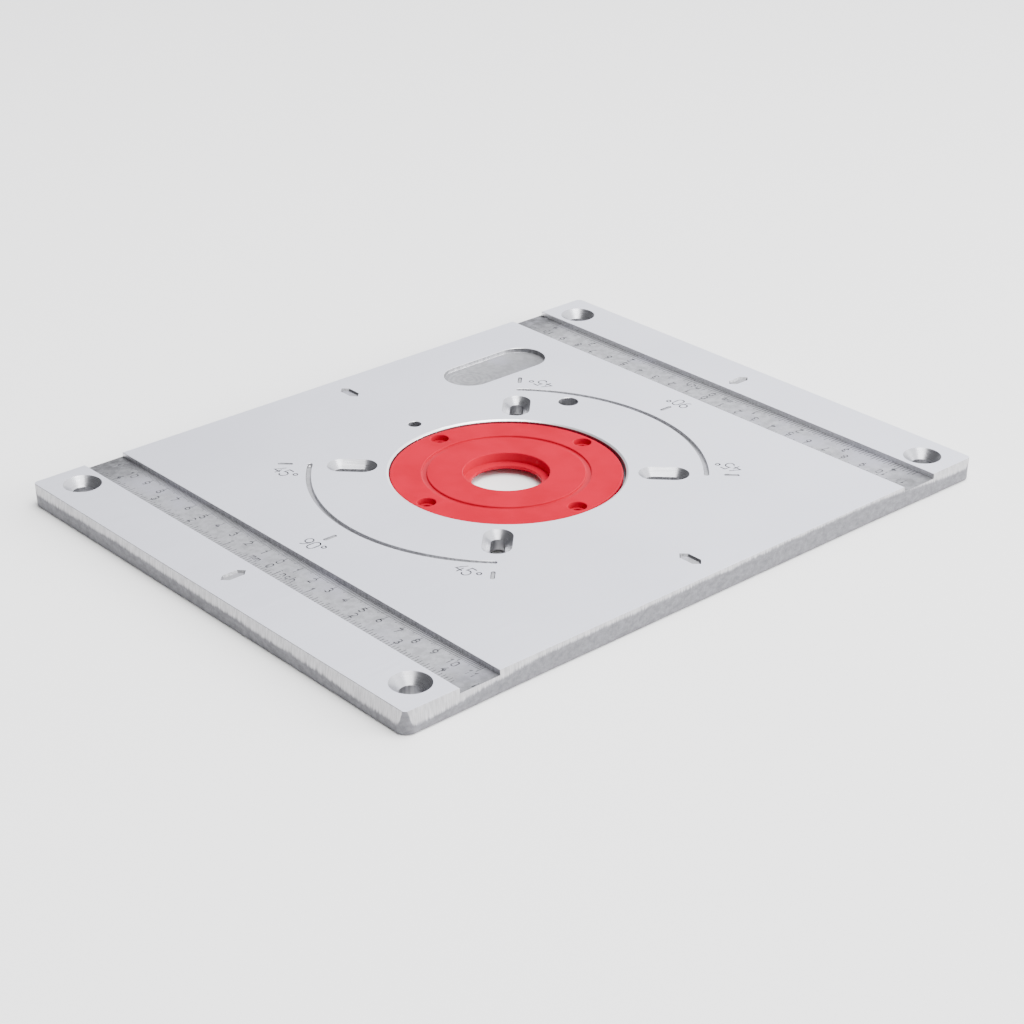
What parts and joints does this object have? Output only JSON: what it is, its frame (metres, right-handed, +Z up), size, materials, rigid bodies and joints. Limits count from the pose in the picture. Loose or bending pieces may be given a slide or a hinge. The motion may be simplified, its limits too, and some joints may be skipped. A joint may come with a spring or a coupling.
{
  "type": "router table insert plate",
  "caption": "Flat cast plate that carries a router under a work table, with a lift-out reducing ring round the bit opening and two shallow scale channels.",
  "frame": {"origin": "centre of the plate's underside", "axes": "+X along the long side, +Y along the short side, +Z up out of the work face"},
  "size_m": [0.301, 0.236, 0.0095],
  "materials": {
    "cast_plate": "fine-milled matt top, rough cast sides",
    "ring_plastic": "moulded gloss red"
  },
  "bodies": {
    "plate": {"plate": "cast_plate"},
    "insert_ring": {"insert_ring": "ring_plastic"}
  },
  "joints": [
    {"name": "ring_lift", "type": "slide", "parent": "plate", "child": "insert_ring", "axis": [0, 0, 1], "range_m": [0, 0.02]}
  ]
}
